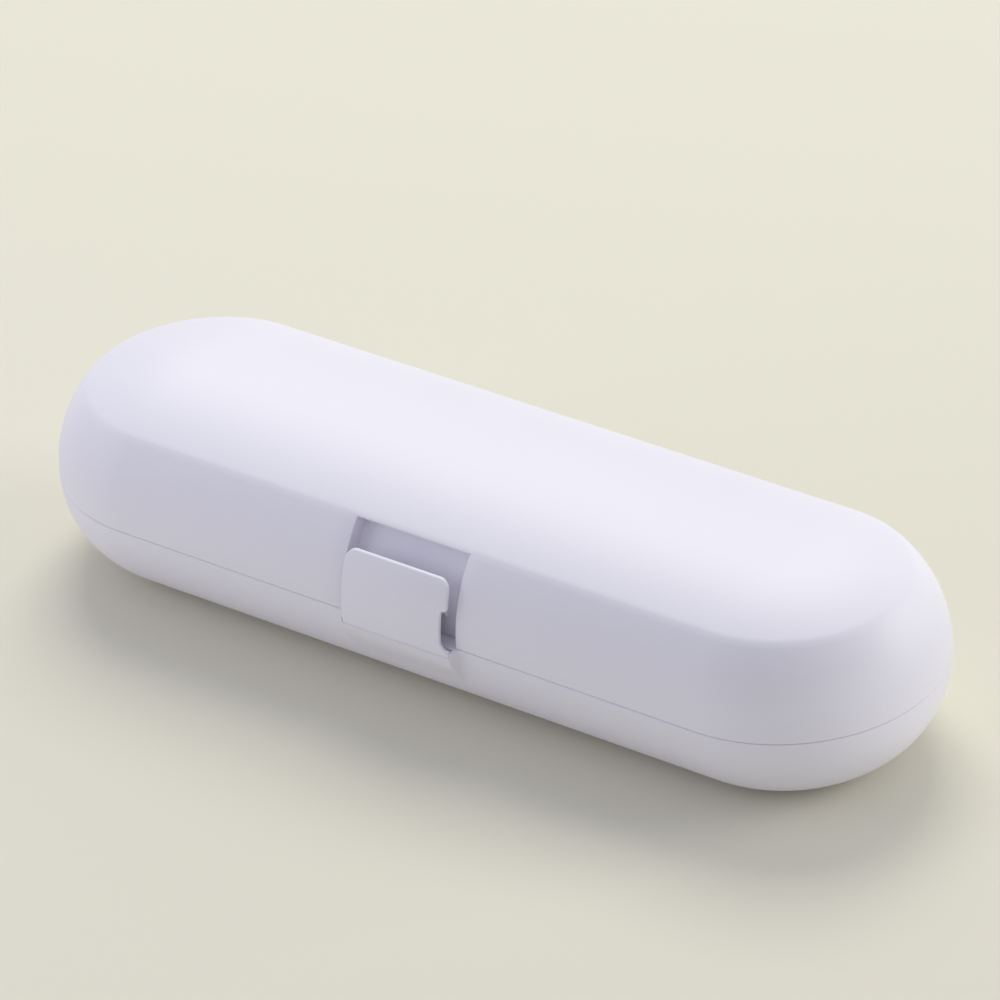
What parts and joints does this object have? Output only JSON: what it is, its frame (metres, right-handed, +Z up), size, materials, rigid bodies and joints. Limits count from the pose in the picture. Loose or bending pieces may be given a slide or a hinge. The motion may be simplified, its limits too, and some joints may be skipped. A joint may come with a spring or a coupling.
{
  "type": "electric toothbrush travel case",
  "caption": "Rounded two-shell travel case for an electric toothbrush: hinged crowned lid, front pull-tab latch in a finger recess, inner tray for the handle and brush heads.",
  "frame": {"origin": "middle of the flat underside the case rests on", "axes": "+X along the case, +Y towards the hinge at the back, +Z up; the latch tab faces -Y"},
  "size_m": [0.215, 0.0755, 0.046],
  "materials": {
    "shell_plastic": "fine satin moulded polypropylene, lavender white",
    "tray_plastic": "satin moulded polypropylene, pale grey",
    "soft_pad": "matt silicone",
    "pin_steel": "drawn stainless wire"
  },
  "bodies": {
    "base": {"base_shell": "shell_plastic", "base_tray": "tray_plastic", "hinge_pin_left": "pin_steel", "hinge_pin_right": "pin_steel", "handle_pad_left": "soft_pad", "handle_pad_right": "soft_pad", "head_pad_left": "soft_pad", "head_pad_right": "soft_pad"},
    "lid": {"lid_shell": "shell_plastic"},
    "latch": {"latch_tab": "shell_plastic"}
  },
  "joints": [
    {"name": "lid_hinge", "type": "hinge", "parent": "base", "child": "lid", "pos_m": [0, 0.0368, 0.0215], "axis": [-1, 0, 0], "range_deg": [0, 165]},
    {"name": "latch_flex", "type": "hinge", "parent": "base", "child": "latch", "pos_m": [0, -0.0352, 0.0204], "axis": [1, 0, 0], "range_deg": [0, 12], "stiffness_Nm_per_rad": 0.35}
  ]
}
